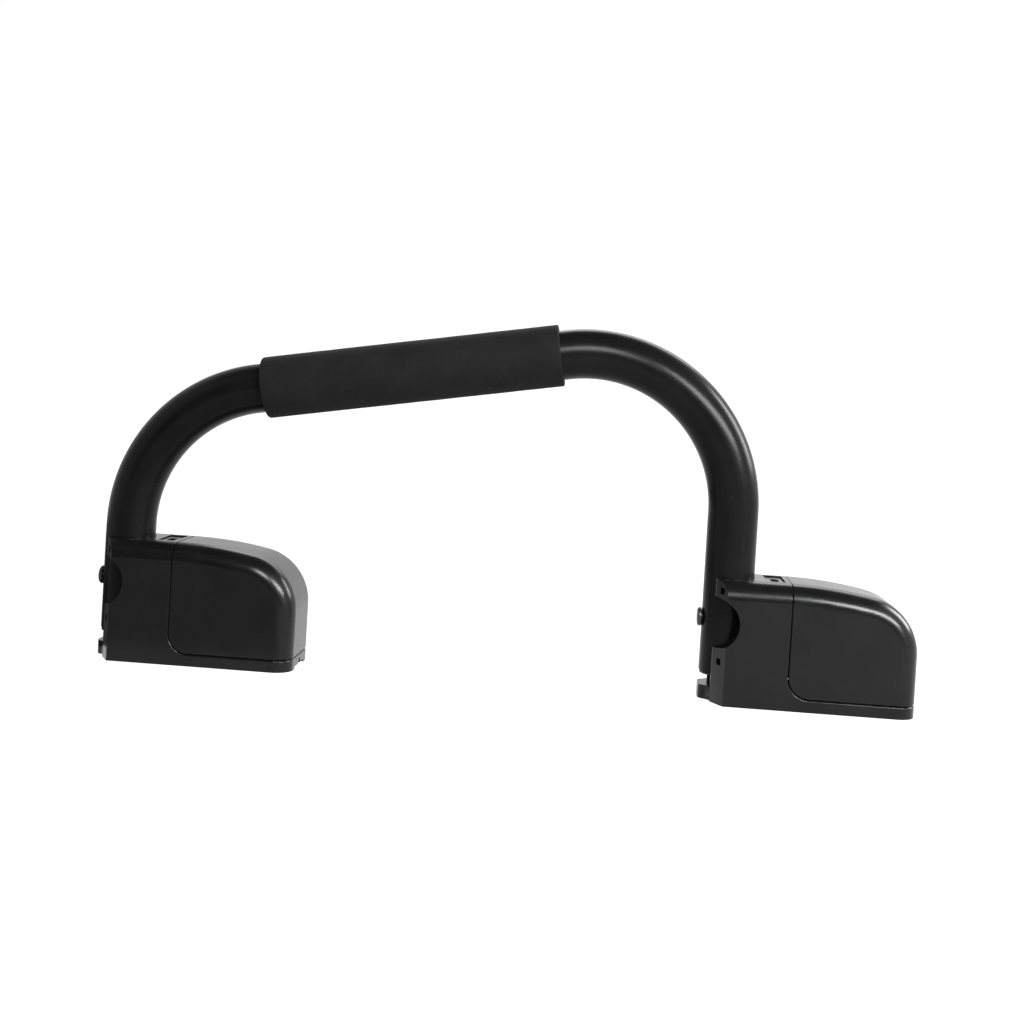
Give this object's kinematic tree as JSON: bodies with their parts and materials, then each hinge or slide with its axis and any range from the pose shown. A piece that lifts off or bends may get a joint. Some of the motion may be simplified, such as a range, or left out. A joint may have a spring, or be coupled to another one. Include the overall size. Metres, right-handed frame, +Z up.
{
  "type": "bed assist rail",
  "caption": "Low hoop of bent tube with a foam grip on its sloping top, carried by matching latching mounts with sprung release buttons.",
  "frame": {"origin": "centre of the whole rail's footprint, on the plane that the mounts rest on", "axes": "+X along the hoop, from the low leg to the high leg and towards both noses; +Y across the hoop; +Z up"},
  "size_m": [0.525, 0.058, 0.2309],
  "materials": {
    "powder_coat": "satin black powder coat",
    "foam": "matte closed-cell foam",
    "housing_plastic": "satin moulded nylon",
    "zinc_steel": "bright zinc plate",
    "spring_steel": "oiled spring wire",
    "bolt_steel": "black oxide"
  },
  "bodies": {
    "rail": {"hoop_tube": "powder_coat", "foam_grip": "foam", "left_housing": "housing_plastic", "left_nose_cover": "housing_plastic", "left_leg_bolt": "bolt_steel", "left_leg_nut": "zinc_steel", "left_crush_sleeve": "zinc_steel", "left_tube_plug": "housing_plastic", "left_pivot_pin": "zinc_steel", "left_return_spring": "spring_steel", "left_mount_plate": "zinc_steel", "left_plate_screw_1": "zinc_steel", "left_plate_screw_2": "zinc_steel", "left_plate_screw_3": "zinc_steel", "left_cover_screw_1": "zinc_steel", "left_cover_screw_2": "zinc_steel", "right_housing": "housing_plastic", "right_nose_cover": "housing_plastic", "right_leg_bolt": "bolt_steel", "right_leg_nut": "zinc_steel", "right_crush_sleeve": "zinc_steel", "right_tube_plug": "housing_plastic", "right_pivot_pin": "zinc_steel", "right_return_spring": "spring_steel", "right_mount_plate": "zinc_steel", "right_plate_screw_1": "zinc_steel", "right_plate_screw_2": "zinc_steel", "right_plate_screw_3": "zinc_steel", "right_cover_screw_1": "zinc_steel", "right_cover_screw_2": "zinc_steel"},
    "left_button": {"left_release_button": "housing_plastic"},
    "left_lever": {"left_latch_lever": "zinc_steel"},
    "right_button": {"right_release_button": "housing_plastic"},
    "right_lever": {"right_latch_lever": "zinc_steel"}
  },
  "joints": [
    {"name": "left_button_press", "type": "slide", "parent": "rail", "child": "left_button", "axis": [0, 0, -1], "range_m": [0, 0.004], "stiffness_N_per_m": 300, "springref_m": -0.004, "deforming": ["left_return_spring"]},
    {"name": "left_lever_turn", "type": "hinge", "parent": "rail", "child": "left_lever", "pos_m": [-0.19075, 0, 0.034], "axis": [0, -1, 0], "range_deg": [0, 10.6]},
    {"name": "right_button_press", "type": "slide", "parent": "rail", "child": "right_button", "axis": [0, 0, -1], "range_m": [0, 0.004], "stiffness_N_per_m": 300, "springref_m": -0.004, "deforming": ["right_return_spring"]},
    {"name": "right_lever_turn", "type": "hinge", "parent": "rail", "child": "right_lever", "pos_m": [0.19925, 0, 0.034], "axis": [0, -1, 0], "range_deg": [0, 10.6]}
  ],
  "couplings": [
    {"joint": "left_lever_turn", "follows": "left_button_press", "rad_per_m": 45.455},
    {"joint": "right_lever_turn", "follows": "right_button_press", "rad_per_m": 45.455}
  ]
}
